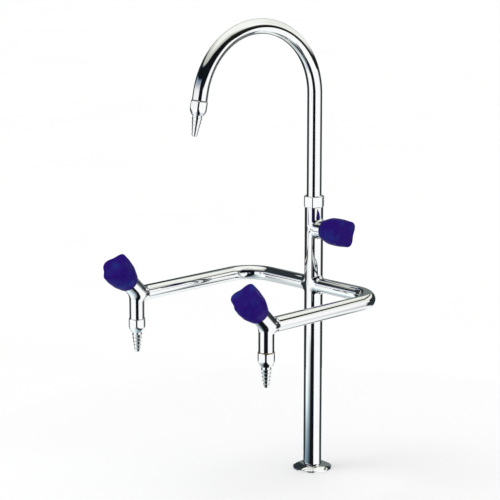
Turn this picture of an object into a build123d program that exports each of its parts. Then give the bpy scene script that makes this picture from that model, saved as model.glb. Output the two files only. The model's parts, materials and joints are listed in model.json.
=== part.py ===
from build123d import *
import os
from math import cos, radians, sin

# A chromed laboratory bench tap with three outlets: a swan neck spout that swivels on top of a
# column, and two arms that leave the column sideways and bend forward to a valve each. Every
# outlet ends in a serrated hose nozzle and is opened by a lobed plastic knob. The column stands
# at the origin on a round deck flange, the arms reach towards -Y and the middle knob faces +X.
# Lengths are in millimetres, angles in degrees.

# Column and deck flange
column_od = 25.0
column_bore = 21.0
flange_od = 53.0
flange_rim = 2.4
flange_height = 7.6
flange_dome = 30.0
foot_shoulder = 5.0
foot_spigot = 11.0
foot_thread_bore = 14.95
deck_seal_bore = 34.0
deck_seal_od = 44.0
deck_seal_thickness = 1.5

# Arms
arm_height = 261.0
arm_spread = 244.0
arm_reach = 212.0
arm_bend = 40.0
tube_od = 20.0
tube_bore = 17.0
cross_height = 40.0
cross_width = 56.0
cross_fillet = 5.0

# Valve bodies: the stub for the knob leaves the outlet's axis a little above the arm, and its tail
# runs on behind that root into the arm
stub_tilt = 45.0
stub_lift = 5.0
stub_tail = 6.0
stub_od = 24.0
side_stub_reach = 16.0
middle_stub_reach = 19.5
middle_valve_height = 338.5
inlet_length = 18.0
inlet_drill = 9.0
inlet_drill_stop = 2.0
outlet_length = 33.0
outlet_roof = 14.0
chamber_bore = 17.0
chamber_depth = 13.6
seat_bore = 8.0
seat_depth = 9.0
passage_bore = 3.0
passage_offset = 7.6
feed_offset = 3.0

# Headwork: two ceramic discs, the spindle and the housing that holds them down
disc_od = 14.4
disc_thickness = 3.0
port_width = 1.8
port_length = 4.0
port_offset = 3.1
channel_width = 4.0
channel_depth = 1.5
spindle_flange = 2.4
spindle_od = 7.0
spindle_square = 4.8
spindle_square_length = 16.0

# Knobs: cone shaped flutes part the lobes, and each knob has its own turn on its spindle
knob_lobes = 4
knob_base_od = 28.0
knob_od = 43.0
knob_end_od = 41.0
knob_length = 38.0
knob_shoulder = 15.0
knob_crown = 1.0
flute_centre = 25.5
flute_radius = 4.6
flute_taper = 8.0
knob_turns = {"left": 50.0, "right": 64.0, "middle": 74.0}

# Union nut, which sits nut_lift above the middle valve's axis, and swivel
nut_lift = 29.0
nut_height = 15.0
nut_across_flats = 25.8
nut_lid = 3.4
nut_chamfer = 1.2
nut_turn = 3.6
thread_od = 22.4
thread_length = 9.0
swivel_bore = 16.0
swivel_depth = 17.0
ferrule_flange_od = 21.8
ferrule_flange = 2.4
ferrule_bore = 11.0
swivel_ring_width = 2.0
swivel_ring_depth = 1.3
swivel_ring_drop = 10.0

# Spout
spout_bend_height = 520.5
spout_bend = 95.8
spout_arc = 169.0
spout_tail = 12.0
spout_turn = 6.0

# Hose nozzles, measured out from the end of the outlet
nozzle_across_flats = 21.6
nozzle_hexagon = 10.0
nozzle_cone_od = 14.8
nozzle_cone_end = 18.5
nozzle_neck_od = 12.4
nozzle_neck_length = 3.0
nozzle_length = 45.5
nozzle_bore = 5.0
nozzle_turn = 48.0
barbs = 5
barb_od = 13.6
barb_end_od = 8.6
barb_step = 0.7

# Clearances, on the radius or along the axis
seat_fit = 0.05
turning_fit = 0.06
disc_film = 0.03
loose_fit = 0.3
knob_gap = 0.6

os.makedirs("parts", exist_ok=True)


def write(part, label):
    """Labels a finished piece and writes it under its own name."""
    part.label = label
    export_step(part, f"parts/{label}.step")


def turn(frame, outline, mode=Mode.ADD):
    """Turns an outline of (radius, height) points about the frame's Z, in the piece being built."""
    half = Plane(origin=frame.origin, x_dir=frame.x_dir, z_dir=frame.y_dir * -1)
    with BuildSketch(half) as section:
        with BuildLine():
            Polyline(*outline, close=True)
        make_face()
    revolve(section.sketch, axis=Axis(frame.origin, frame.z_dir), mode=mode)


def ring(frame, bore, od, bottom, top, mode=Mode.ADD):
    """Turns a plain ring between two heights of the frame, in the piece being built."""
    turn(frame, [(bore / 2, bottom), (od / 2, bottom), (od / 2, top), (bore / 2, top)], mode)


def bar(frame, od, bottom, top, mode=Mode.ADD):
    """Adds or cuts a round bar between two heights of the frame, in the piece being built."""
    with BuildSketch(frame.offset(bottom)) as section:
        Circle(od / 2)
    extrude(section.sketch, amount=top - bottom, mode=mode)


def block(frame, across, along, bottom, top, mode=Mode.ADD):
    """Adds or cuts a rectangular bar between two heights of the frame, in the piece being built."""
    with BuildSketch(frame.offset(bottom)) as section:
        Rectangle(across, along)
    extrude(section.sketch, amount=top - bottom, mode=mode)


# Each valve's frame lies on the end of its stub, with Z along the spindle out to the knob
arm_end = arm_spread / 2
tilt = radians(stub_tilt)
up_and_forward = Vector(0, -cos(tilt), sin(tilt))
stub_root_height = arm_height + stub_lift
left_stub_end = Vector(-arm_end, -arm_reach, stub_root_height) + up_and_forward * side_stub_reach
right_stub_end = Vector(arm_end, -arm_reach, stub_root_height) + up_and_forward * side_stub_reach
valves = {
    "left": Plane(left_stub_end, x_dir=(1, 0, 0), z_dir=up_and_forward),
    "right": Plane(right_stub_end, x_dir=(1, 0, 0), z_dir=up_and_forward),
    "middle": Plane((middle_stub_reach, 0, middle_valve_height), x_dir=(0, 1, 0), z_dir=(1, 0, 0)),
}

# Heights along a valve's axis, from the floor of its chamber out to the end of its knob
chamber_floor = -chamber_depth
fixed_disc_top = chamber_floor + disc_thickness
moving_disc_base = fixed_disc_top + disc_film
spindle_base = moving_disc_base + disc_thickness
stem_base = spindle_base + spindle_flange
housing_base = stem_base + turning_fit
knob_base = knob_gap
square_top = knob_base + spindle_square_length
knob_top = knob_base + knob_length

# Deck flange: a shallow turned dome around the column's foot, with a seal let into its underside
flange_hole = column_od / 2 + seat_fit
flange_edge = flange_od / 2
with BuildPart() as base_flange:
    with BuildSketch(Plane.XZ):
        with BuildLine():
            Line((flange_hole, flange_height), (flange_hole, 0))
            Line((flange_hole, 0), (flange_edge, 0))
            Line((flange_edge, 0), (flange_edge, flange_rim))
            RadiusArc((flange_edge, flange_rim), (flange_hole, flange_height), -flange_dome)
        make_face()
    revolve(axis=Axis.Z)
    groove_bore = deck_seal_bore - 2 * seat_fit
    groove_od = deck_seal_od + 2 * seat_fit
    ring(Plane.XY, groove_bore, groove_od, 0, deck_seal_thickness, Mode.SUBTRACT)
write(base_flange.part, "base_flange")

with BuildPart() as deck_seal:
    ring(Plane.XY, deck_seal_bore, deck_seal_od, 0, deck_seal_thickness)
write(deck_seal.part, "deck_seal")

# Column foot: a turned plug with the supply thread, whose spigot sits in the column
foot_top = foot_shoulder + foot_spigot
with BuildPart() as column_foot:
    bar(Plane.XY, column_od, 0, foot_shoulder)
    bar(Plane.XY, column_bore - 2 * seat_fit, foot_shoulder, foot_top)
    bar(Plane.XY, foot_thread_bore, 0, foot_top, Mode.SUBTRACT)
write(column_foot.part, "column_foot")

cross_bottom = arm_height - cross_height / 2
cross_top = arm_height + cross_height / 2
with BuildPart() as column_tube:
    ring(Plane.XY, column_bore, column_od, foot_shoulder, cross_bottom)
write(column_tube.part, "column_tube")

# Cross: the hollow forging that joins the column and both arms
across = Plane((0, 0, arm_height), x_dir=(0, 1, 0), z_dir=(1, 0, 0))
cross_end = cross_width / 2
with BuildPart() as arm_cross:
    bar(Plane.XY, column_od, cross_bottom, cross_top)
    bar(across, tube_od, -cross_end, cross_end)
    curved = arm_cross.edges().filter_by(GeomType.CIRCLE, reverse=True)
    fillet(curved.filter_by(GeomType.LINE, reverse=True), radius=cross_fillet)
    bar(Plane.XY, column_bore, cross_bottom, cross_top, Mode.SUBTRACT)
    bar(across, tube_bore, -cross_end, cross_end, Mode.SUBTRACT)
write(arm_cross.part, "arm_cross")

# Arms: one bent tube a side, from the cross to the valve body
for side, hand in (("left", -1), ("right", 1)):
    root = (hand * cross_end, 0, arm_height)
    elbow = (hand * arm_end, 0, arm_height)
    tip = (hand * arm_end, inlet_length - arm_reach, arm_height)
    with BuildPart() as arm_tube:
        with BuildLine():
            FilletPolyline(root, elbow, tip, radius=arm_bend)
        with BuildSketch(Plane(origin=root, z_dir=(hand, 0, 0))):
            Circle(tube_od / 2)
            Circle(tube_bore / 2, mode=Mode.SUBTRACT)
        sweep()
    write(arm_tube.part, f"{side}_arm_tube")

# Side valve bodies: the water comes in from the arm, passes the seat into the chamber under the
# stub, and leaves the chamber through a small passage down to the outlet
outlets = {}
for side, hand in (("left", -1), ("right", 1)):
    valve = valves[side]
    inlet = Plane((hand * arm_end, -arm_reach, arm_height), x_dir=(1, 0, 0), z_dir=(0, 1, 0))
    outlet = Plane((hand * arm_end, -arm_reach, arm_height), x_dir=(1, 0, 0), z_dir=(0, 0, -1))
    passage = outlet.shift_origin(outlet.from_local_coords((0, passage_offset, 0)))
    outlets[side] = outlet.offset(outlet_length)
    with BuildPart() as valve_body:
        bar(inlet, tube_od, 0, inlet_length)
        bar(outlet, tube_od, -stub_lift, outlet_length)
        bar(valve, stub_od, -side_stub_reach - stub_tail, 0)
        bar(valve, chamber_bore, chamber_floor, 0, Mode.SUBTRACT)
        bar(valve, seat_bore, chamber_floor - seat_depth, chamber_floor, Mode.SUBTRACT)
        bar(inlet, inlet_drill, inlet_drill_stop, inlet_length, Mode.SUBTRACT)
        bar(outlet, tube_bore, outlet_roof, outlet_length, Mode.SUBTRACT)
        bar(passage, passage_bore, -stub_lift, outlet_roof, Mode.SUBTRACT)
    write(valve_body.part, f"{side}_valve_body")

# Middle valve body: the upper column, with a stub to the side and the swivel socket on top
nut_bottom = middle_valve_height + nut_lift
column_top = nut_bottom + thread_length
swivel_floor = column_top - swivel_depth
lower_bore_top = middle_valve_height - stub_od / 2
feed = Plane((-feed_offset, 0, 0))
drain = Plane((passage_offset, 0, 0))
with BuildPart() as middle_valve_body:
    bar(Plane.XY, column_od, cross_top, nut_bottom)
    bar(valves["middle"], stub_od, -middle_stub_reach, 0)
    bar(Plane.XY, thread_od, nut_bottom, column_top)
    bar(Plane.XY, column_bore, cross_top, lower_bore_top, Mode.SUBTRACT)
    bar(Plane.XY, swivel_bore, swivel_floor, column_top, Mode.SUBTRACT)
    bar(valves["middle"], chamber_bore, chamber_floor, 0, Mode.SUBTRACT)
    bar(valves["middle"], seat_bore, chamber_floor - seat_depth, chamber_floor, Mode.SUBTRACT)
    bar(feed, passage_bore, lower_bore_top, middle_valve_height, Mode.SUBTRACT)
    bar(drain, passage_bore, middle_valve_height, swivel_floor, Mode.SUBTRACT)
write(middle_valve_body.part, "middle_valve_body")

# Headwork and knob of each valve. Shut, the moving disc covers both ports of the fixed disc with
# its land, and a quarter turn brings the channel across its underside over them.
square_hole = spindle_square + 2 * seat_fit
channel_top = moving_disc_base + channel_depth
for side, valve in valves.items():
    with BuildPart() as fixed_disc:
        bar(valve, disc_od, chamber_floor, fixed_disc_top)
        for offset in (port_offset, -port_offset):
            port = Plane(valve.from_local_coords((offset, 0, 0)), x_dir=valve.x_dir, z_dir=valve.z_dir)
            block(port, port_width, port_length, chamber_floor, fixed_disc_top, Mode.SUBTRACT)
    write(fixed_disc.part, f"{side}_fixed_disc")

    with BuildPart() as moving_disc:
        bar(valve, disc_od, moving_disc_base, spindle_base)
        block(valve, channel_width, disc_od, moving_disc_base, channel_top, Mode.SUBTRACT)
    write(moving_disc.part, f"{side}_moving_disc")

    with BuildPart() as headwork_housing:
        ring(valve, spindle_od + 2 * turning_fit, chamber_bore - 2 * seat_fit, housing_base, 0)
    write(headwork_housing.part, f"{side}_headwork_housing")

    with BuildPart() as spindle:
        bar(valve, disc_od, spindle_base, stem_base)
        bar(valve, spindle_od, stem_base, knob_base)
        block(valve, spindle_square, spindle_square, knob_base, square_top)
    write(spindle.part, f"{side}_spindle")

    with BuildPart() as knob:
        outline = [
            (0, knob_base),
            (knob_base_od / 2, knob_base),
            (knob_od / 2, knob_base + knob_shoulder),
            (knob_od / 2, knob_top - knob_crown),
            (knob_end_od / 2, knob_top),
            (0, knob_top),
        ]
        turn(valve, outline)
        with BuildSketch(valve.offset(knob_base)):
            with PolarLocations(flute_centre, knob_lobes, start_angle=knob_turns[side]):
                Circle(flute_radius)
        extrude(amount=knob_length, taper=-flute_taper, mode=Mode.SUBTRACT)
        block(valve, square_hole, square_hole, knob_base, square_top, Mode.SUBTRACT)
    write(knob.part, f"{side}_knob")

# Union nut: a chamfered hexagon with a lid that keeps the spout's ferrule down
nut_top = nut_bottom + nut_height
lid_base = nut_top - nut_lid
nut_flat = nut_across_flats / 2
nut_corner = nut_flat / cos(radians(30))
with BuildPart() as union_nut:
    with BuildSketch(Plane.XY.offset(nut_bottom)):
        RegularPolygon(nut_flat, 6, major_radius=False, rotation=nut_turn)
    extrude(amount=nut_height)
    outline = [
        (0, nut_bottom),
        (nut_flat, nut_bottom),
        (nut_corner, nut_bottom + nut_chamfer),
        (nut_corner, nut_top - nut_chamfer),
        (nut_flat, nut_top),
        (0, nut_top),
    ]
    turn(Plane.XY, outline, Mode.INTERSECT)
    bar(Plane.XY, thread_od + 2 * seat_fit, nut_bottom, lid_base, Mode.SUBTRACT)
    bar(Plane.XY, tube_od + 2 * loose_fit, lid_base, nut_top, Mode.SUBTRACT)
write(union_nut.part, "union_nut")

# Swivel: the ferrule under the spout turns in the column's socket, with a seal in its groove
ferrule_base = column_top + turning_fit
spout_foot = ferrule_base + ferrule_flange
ferrule_od = swivel_bore - 2 * turning_fit
ferrule_end = swivel_floor + loose_fit
ring_top = ferrule_base - swivel_ring_drop
ring_base = ring_top - swivel_ring_width
ring_bore = ferrule_od - 2 * swivel_ring_depth
with BuildPart() as spout_ferrule:
    bar(Plane.XY, ferrule_od, ferrule_end, ferrule_base)
    bar(Plane.XY, ferrule_flange_od, ferrule_base, spout_foot)
    bar(Plane.XY, ferrule_bore, ferrule_end, spout_foot, Mode.SUBTRACT)
    ring(Plane.XY, ring_bore, swivel_bore, ring_base, ring_top, Mode.SUBTRACT)
write(spout_ferrule.part, "spout_ferrule")

with BuildPart() as swivel_ring:
    ring(Plane.XY, ring_bore, ferrule_od, ring_base, ring_top)
write(swivel_ring.part, "swivel_ring")

# Spout: a riser, a swan neck bow and a short straight tail, in one upright plane
heading = radians(spout_turn)
ahead = Vector(-sin(heading), -cos(heading), 0)
spout_plane = Plane(origin=(0, 0, 0), x_dir=ahead, z_dir=ahead.cross(Vector(0, 0, 1)))
with BuildPart() as spout_tube:
    with BuildLine(spout_plane):
        riser = Line((0, spout_foot), (0, spout_bend_height))
        bow = JernArc(riser @ 1, riser % 1, spout_bend, -spout_arc)
        tail = Line(bow @ 1, (bow @ 1) + (bow % 1) * spout_tail)
    with BuildSketch(Plane.XY.offset(spout_foot)):
        Circle(tube_od / 2)
        Circle(tube_bore / 2, mode=Mode.SUBTRACT)
    sweep()
write(spout_tube.part, "spout_tube")
outlets["spout"] = Plane(origin=tail @ 1, x_dir=(1, 0, 0), z_dir=tail % 1)

# Hose nozzles: a chamfered hexagon runs out through a cone into a neck and a row of barbs
nozzle_flat = nozzle_across_flats / 2
nozzle_corner = nozzle_flat / cos(radians(30))
head_outline = [
    (0, 0),
    (nozzle_corner, 0),
    (nozzle_corner, nozzle_hexagon),
    (nozzle_cone_od / 2, nozzle_cone_end),
    (0, nozzle_cone_end),
]
first_barb = nozzle_cone_end + nozzle_neck_length
barb_pitch = (nozzle_length - first_barb) / barbs
barb_taper = (barb_od - barb_end_od) / 2 / (barbs - 1)
hose_outline = [(0, nozzle_length), (0, nozzle_cone_end), (nozzle_neck_od / 2, nozzle_cone_end)]
hose_outline.append((nozzle_neck_od / 2, first_barb))
for barb in range(barbs):
    crest = barb_od / 2 - barb * barb_taper
    hose_outline.append((crest, first_barb + barb * barb_pitch))
    hose_outline.append((crest - barb_taper - barb_step, first_barb + (barb + 1) * barb_pitch))
for side, outlet in outlets.items():
    with BuildPart() as nozzle:
        with BuildSketch(outlet):
            RegularPolygon(nozzle_flat, 6, major_radius=False, rotation=nozzle_turn)
        extrude(amount=nozzle_cone_end)
        turn(outlet, head_outline, Mode.INTERSECT)
        turn(outlet, hose_outline)
        bar(outlet, nozzle_bore, 0, nozzle_length, Mode.SUBTRACT)
    write(nozzle.part, f"{side}_nozzle")
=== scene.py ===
import json
from math import cos, pi, radians, sin

import bpy
import numpy as np
from bpy.props import FloatProperty, FloatVectorProperty, PointerProperty
from mathutils import Matrix, Vector


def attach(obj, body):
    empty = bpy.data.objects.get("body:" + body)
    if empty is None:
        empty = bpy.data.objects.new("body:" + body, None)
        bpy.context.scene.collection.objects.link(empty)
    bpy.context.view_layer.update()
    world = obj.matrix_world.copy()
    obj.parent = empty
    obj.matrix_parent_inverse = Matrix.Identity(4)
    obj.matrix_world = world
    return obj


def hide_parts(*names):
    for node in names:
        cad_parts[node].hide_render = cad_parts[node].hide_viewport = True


# A chromed laboratory bench tap with a swan neck, two bent arms, three lobed knobs and three
# serrated hose nozzles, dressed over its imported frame. Lengths are in metres, +Z is up, the arms
# and the spout reach towards -Y and the middle knob faces +X.

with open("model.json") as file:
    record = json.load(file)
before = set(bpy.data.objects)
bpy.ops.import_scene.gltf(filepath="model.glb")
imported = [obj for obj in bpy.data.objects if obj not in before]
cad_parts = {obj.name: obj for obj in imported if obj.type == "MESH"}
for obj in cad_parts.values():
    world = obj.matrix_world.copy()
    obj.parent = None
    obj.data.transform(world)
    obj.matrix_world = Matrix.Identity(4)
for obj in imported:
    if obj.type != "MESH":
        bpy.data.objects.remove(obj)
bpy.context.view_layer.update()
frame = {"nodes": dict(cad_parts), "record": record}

bl_info = {
    "name": "Laboratory bench tap",
    "version": (1, 0, 0),
    "blender": (4, 5, 0),
    "location": "3D View > Sidebar > Bench tap",
    "description": "Smooth chromed surfaces, plastic knobs and a plain studio for a laboratory bench tap",
    "category": "Object",
}

HANDS = (("left", -1), ("right", 1))
RIGHT, BACK, UP = np.eye(3)
AHEAD = np.array([0.714, -0.700, 0.0])
SIDE = np.array([0.700, 0.714, 0.0])
NEAR_BLACK = (0.006, 0.008, 0.011)
STAND = "stand"
SPOUT = "spout"
SLOT_FINISHES = {
    "chrome": "chrome",
    "knob_plastic": "knob",
    "brass": "brass",
    "seal_rubber": "rubber",
    "ceramic": "ceramic",
}
TINY = 1e-9
SHARP_ANGLE = radians(28.0)
NUT_SHARPNESS = 15.0
NOZZLE_SHARPNESS = 9.0
BARBS = 5
KNOB_LOBES = 4
VALLEY_POWER = 0.95
# How far each knob is turned, in radians
KNOB_TURNS = {"left": 1.51, "right": 0.15, "middle": 0.515}
# Finish and slot of the ring at each nozzle's joint
RING_FINISHES = {
    "left": ("chrome", "chrome"),
    "right": ("joint", "brass"),
    "spout": ("rubber", "seal_rubber"),
}


def length(name, description, default):
    """A size in metres."""
    return FloatProperty(
        name=name, description=description, default=default, min=0.0, unit="LENGTH", precision=5
    )


def rotation(name, description, default):
    """An angle, written in degrees."""
    return FloatProperty(name=name, description=description, default=radians(default), unit="ROTATION")


def tint(name, description, default):
    """A linear colour."""
    return FloatVectorProperty(
        name=name, description=description, default=default, min=0.0, max=1.0, size=3, subtype="COLOR"
    )


class TapPipework(bpy.types.PropertyGroup):
    """Sizes of the column, the flange, the arms and the spout."""

    column_od: length("Column diameter", "Outside diameter of the column", 0.025)
    column_bore: length("Column bore", "Inside diameter of the column", 0.021)
    column_base: length("Column base", "Height at which the column tube starts", 0.005)
    flange_od: length("Flange diameter", "Outside diameter of the deck flange", 0.053)
    flange_rim: length("Flange rim", "Height of the flange's upright rim", 0.0024)
    flange_height: length("Flange height", "Height of the flange at the column", 0.0076)
    flange_dome: length("Flange dome", "Radius of the flange's domed top", 0.030)
    flange_hole: length("Flange hole", "Diameter of the hole that the column stands in", 0.0251)
    seal_bore: length("Seal groove bore", "Inside diameter of the groove for the deck seal", 0.0339)
    seal_od: length("Seal groove diameter", "Outside diameter of the groove for the deck seal", 0.0441)
    seal_depth: length("Seal groove depth", "Depth of the groove for the deck seal", 0.0015)
    tube_od: length("Tube diameter", "Outside diameter of the arms and the spout", 0.020)
    tube_bore: length("Tube bore", "Inside diameter of the arms and the spout", 0.017)
    arm_height: length("Arm height", "Height of the arms' centre line", 0.261)
    arm_end: length("Arm spread", "Distance of each valve from the column, sideways", 0.122)
    arm_reach: length("Arm reach", "Distance of each valve in front of the column", 0.212)
    arm_bend: length("Arm bend", "Bend radius of the arms", 0.040)
    cross_height: length("Cross height", "Height of the cross on the column", 0.040)
    cross_width: length("Cross width", "Width of the cross along the arms", 0.056)
    cross_fillet: length("Cross fillet", "Softness of the cross's inner corners", 0.0052)
    spout_foot: length("Spout foot", "Height at which the spout tube starts", 0.37896)
    spout_bend_height: length("Spout bend height", "Height at which the swan neck starts to bend", 0.52046)
    spout_bend: length("Spout bend", "Bend radius of the swan neck", 0.0958)
    spout_arc: rotation("Spout arc", "Angle of the swan neck's bow", 169.0)
    spout_tail: length("Spout tail", "Straight run at the end of the swan neck", 0.012)
    spout_turn: rotation("Spout turn", "Turn of the swan neck to the left of straight ahead", 6.0)


class TapValves(bpy.types.PropertyGroup):
    """Sizes of the valve bodies and the knobs."""

    stub_tilt: rotation("Stub tilt", "Angle of the side stubs above the horizon", 45.0)
    stub_lift: length("Stub lift", "Height of the side stubs' root above the arm", 0.005)
    stub_tail: length("Stub tail", "How far the side stubs start behind their root", 0.006)
    stub_od: length("Stub diameter", "Outside diameter of the stubs", 0.024)
    side_stub_reach: length("Side stub reach", "Length of the side stubs", 0.016)
    middle_stub_reach: length("Middle stub reach", "Length of the middle stub", 0.0195)
    middle_height: length("Middle valve height", "Height of the middle stub", 0.3385)
    middle_root: length("Middle stub root", "How far off the column's axis the middle stub starts", 0.007)
    inlet_length: length("Inlet length", "Length of the valve body along the arm", 0.018)
    outlet_length: length("Outlet length", "Length of the valve body down to the nozzle", 0.033)
    chamber_bore: length("Chamber bore", "Diameter of the chamber under each knob", 0.017)
    chamber_depth: length("Chamber depth", "Depth of the chamber under each knob", 0.0136)
    corner: length("Stub corner", "Softness of the corner between stub and arm", 0.0032)
    elbow: length("Elbow corner", "Softness of the corner under the arm", 0.0026)
    nut_bottom: length("Nut bottom", "Height of the union nut's underside", 0.3675)
    nut_height: length("Nut height", "Height of the union nut", 0.015)
    nut_across_flats: length("Nut across flats", "Width of the union nut", 0.0258)
    nut_chamfer: length("Nut chamfer", "Chamfer on the union nut's corners", 0.0012)
    nut_lid: length("Nut lid", "Thickness of the union nut's lid", 0.0034)
    nut_turn: rotation("Nut turn", "Turn of the union nut", 3.6)
    thread_od: length("Thread diameter", "Diameter of the column's top under the nut", 0.0224)
    thread_length: length("Thread length", "Length of the column's top under the nut", 0.009)
    swivel_bore: length("Swivel bore", "Diameter of the socket for the spout's ferrule", 0.016)
    swivel_depth: length("Swivel depth", "Depth of the socket for the spout's ferrule", 0.017)
    knob_gap: length("Knob gap", "Gap between stub and knob", 0.0006)
    knob_length: length("Knob length", "Length of the knobs", 0.0380)
    knob_base_od: length("Knob base", "Diameter of the knobs at the stub", 0.0276)
    knob_od: length("Knob diameter", "Largest diameter of the knobs", 0.0430)
    knob_crown: length("Knob crown", "Rounding of the knobs' outer edge", 0.0010)


class TapNozzles(bpy.types.PropertyGroup):
    """Sizes of the hose nozzles."""

    across_flats: length("Across flats", "Width of the nozzle's hexagon", 0.0216)
    hexagon: length("Hexagon length", "Length of the hexagon before its cone", 0.010)
    cone_od: length("Cone end diameter", "Diameter at the end of the cone", 0.0148)
    cone_end: length("Cone end", "Distance of the cone's end from the joint", 0.0185)
    neck_od: length("Neck diameter", "Diameter of the neck above the barbs", 0.0124)
    neck_length: length("Neck length", "Length of the neck", 0.003)
    reach: length("Nozzle length", "Whole length of the nozzle", 0.0455)
    bore: length("Nozzle bore", "Diameter of the water way", 0.005)
    barb_od: length("First barb", "Diameter of the first barb's crest", 0.0136)
    barb_end_od: length("Last barb", "Diameter of the last barb's crest", 0.0086)
    barb_step: length("Barb step", "Depth of the step behind each crest", 0.0007)
    nozzle_turn: rotation("Nozzle turn", "Turn of the hexagon", 48.0)
    joint_ring: length("Joint ring", "Height of the thin sealing ring at each joint", 0.0009)


class TapColours(bpy.types.PropertyGroup):
    """Colours of the finishes and the stage."""

    chrome: tint("Chrome", "Polished chrome", (0.93, 0.94, 0.95))
    knob: tint("Knob plastic", "Dark blue-violet plastic of the knobs", (0.017, 0.003, 0.150))
    # The second knob colour is painted sheen: a bluish highlight colour laid in random clouds over the
    # plastic.
    knob_painted_sheen: tint("Knob sheen", "Bluer tint where the plastic is worn", (0.012, 0.022, 0.190))
    brass: tint("Brass", "Turned brass", (0.62, 0.42, 0.16))
    joint: tint("Joint ring", "Golden brown sealing ring", (0.45, 0.24, 0.06))
    rubber: tint("Seal rubber", "Black seal rubber", (0.022, 0.022, 0.023))
    ceramic: tint("Ceramic", "Lapped alumina", (0.86, 0.85, 0.81))
    floor: tint("Floor", "Plain pale floor", (0.97, 0.97, 0.97))


def unit(v):
    """Scales vectors along the last axis to length 1."""
    return v / np.linalg.norm(v, axis=-1, keepdims=True)


def face_bands(rows):
    """Faces between neighbouring rows of a closed grid, one array of corner numbers for each band. A band
    at a pole is a fan of triangles, and without poles the last row joins the first."""
    m, n, _ = rows.shape
    pole, last_pole = (np.ptp(rows[i], axis=0).max() < TINY for i in (0, -1))
    index = np.arange(m * n).reshape(m, n)
    across = np.roll(index, -1, axis=1)
    bands = []
    for low in range(m - 1 if pole or last_pole else m):
        high = (low + 1) % m
        if low == 0 and pole:
            corners = (np.full(n, index[0, 0]), across[high], index[high])
        elif high == m - 1 and last_pole:
            corners = (index[low], across[low], np.full(n, index[high, 0]))
        else:
            corners = (index[low], across[low], across[high], index[high])
        bands.append(np.stack(corners, axis=1))
    return bands


def enclosed(points, bands):
    """Six times the volume inside the faces: the sum of a . (b x c) over their triangles."""
    total = 0.0
    for band in bands:
        for k in range(1, band.shape[1] - 1):
            a, b, c = (points[band[:, corner]] for corner in (0, k, k + 1))
            total += np.einsum("ij,ij->", a, np.cross(b, c))
    return total


def skin(name, rows, finish, body, nodes, normals=None, exact=None):
    """Closes a grid of points into a piece: columns run round and join up, and rows either join end to
    end or finish in a pole where a row has shrunk to a point. Faces are turned outwards by the sign
    of the enclosed volume. exact marks the rows whose own normals are given."""
    points = rows.reshape(-1, 3)
    bands = face_bands(rows)
    if enclosed(points, bands) < 0:
        bands = [band[:, ::-1] for band in bands]
    corners = np.concatenate([band.reshape(-1) for band in bands])
    used = np.zeros(len(points), bool)
    used[corners] = True
    new_index = np.cumsum(used) - 1
    faces = [face for band in bands for face in new_index[band].tolist()]
    mesh = bpy.data.meshes.new(name)
    mesh.from_pydata(points[used].tolist(), [], faces)
    mesh.polygons.foreach_set("use_smooth", np.ones(len(faces), bool))
    mesh.update()
    if normals is None:
        mesh.set_sharp_from_angle(angle=SHARP_ANGLE)
    else:
        sides = np.concatenate([np.full(len(band), band.shape[1]) for band in bands])
        known = np.concatenate([np.repeat(exact, rows.shape[1])[band].all(axis=1) for band in bands])
        flat = np.empty(3 * len(faces), np.float32)
        mesh.polygons.foreach_get("normal", flat)
        own, plain = normals.reshape(-1, 3)[corners], np.repeat(flat.reshape(-1, 3), sides, axis=0)
        mesh.normals_split_custom_set(np.where(np.repeat(known, sides)[:, None], own, plain).tolist())
    piece = bpy.data.objects.new(name, mesh)
    bpy.context.scene.collection.objects.link(piece)
    mesh.materials.append(finish)
    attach(piece, body)
    if nodes:
        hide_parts(*nodes)
    return piece


def chromed(name, rows, node, body=STAND, normals=None, exact=None):
    """A chromed piece that stands for its node."""
    skin(name, rows, finishes()["chrome"], body, [node], normals, exact)


def ring_angles(columns):
    """Equal steps of the angle round an axis."""
    return np.linspace(0.0, 2 * pi, columns, endpoint=False)


def ring_directions(u, v, columns):
    """Directions round an axis: cos(angle) u + sin(angle) v for equal steps of the angle."""
    angle = ring_angles(columns)
    return np.cos(angle)[:, None] * u + np.sin(angle)[:, None] * v


def turned(origin, axis, side, profile, columns):
    """Surface of revolution: point = origin + height * axis + radius * (cos a * side + sin a * other side).
    The radius of each profile row is one number, or one for each column."""
    axis, side = unit(np.array(axis, float)), unit(np.array(side, float))
    around = ring_directions(side, np.cross(axis, side), columns)
    radius = np.stack([np.broadcast_to(r, (columns,)) for r, _ in profile])
    height = np.array([h for _, h in profile])
    return np.array(origin) + height[:, None, None] * axis + radius[..., None] * around


def tube_along(centre, normal, binormal, outer, bore, columns):
    """Bent tube: the ring point is centre(s) + r * (cos a * normal(s) + sin a * binormal), with r the outer
    radius on the way out and the bore's radius on the way back, so that the shell is closed."""
    angle = ring_angles(columns)
    ring = np.cos(angle)[None, :, None] * normal[:, None] + np.sin(angle)[None, :, None] * binormal
    out = centre[:, None] + outer * ring
    back = centre[::-1, None] + bore * ring[::-1]
    return np.concatenate([out, back])


def straight_and_arc(start, ahead, inward, first, radius, sweep, last, steps):
    """Centre line of a straight run, an arc and a straight run in one plane. On the arc the point is
    centre + radius * (sin t * ahead - cos t * inward) for t from 0 to the sweep. Also gives the direction
    from each point towards the inside of the bend."""
    t = np.linspace(0.0, sweep, steps)
    middle = start + first * ahead + radius * inward
    arc = middle + radius * (np.sin(t)[:, None] * ahead - np.cos(t)[:, None] * inward)
    lean = -np.sin(t)[:, None] * ahead + np.cos(t)[:, None] * inward
    along = cos(sweep) * ahead + sin(sweep) * inward
    run_in = start + np.array([0.0, 0.5])[:, None] * first * ahead
    run_out = arc[-1] + np.array([0.5, 1.0])[:, None] * last * along
    centre = np.concatenate([run_in, arc, run_out])
    normal = np.concatenate([np.repeat(lean[:1], 2, axis=0), lean, np.repeat(lean[-1:], 2, axis=0)])
    return centre, normal, along


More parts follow.
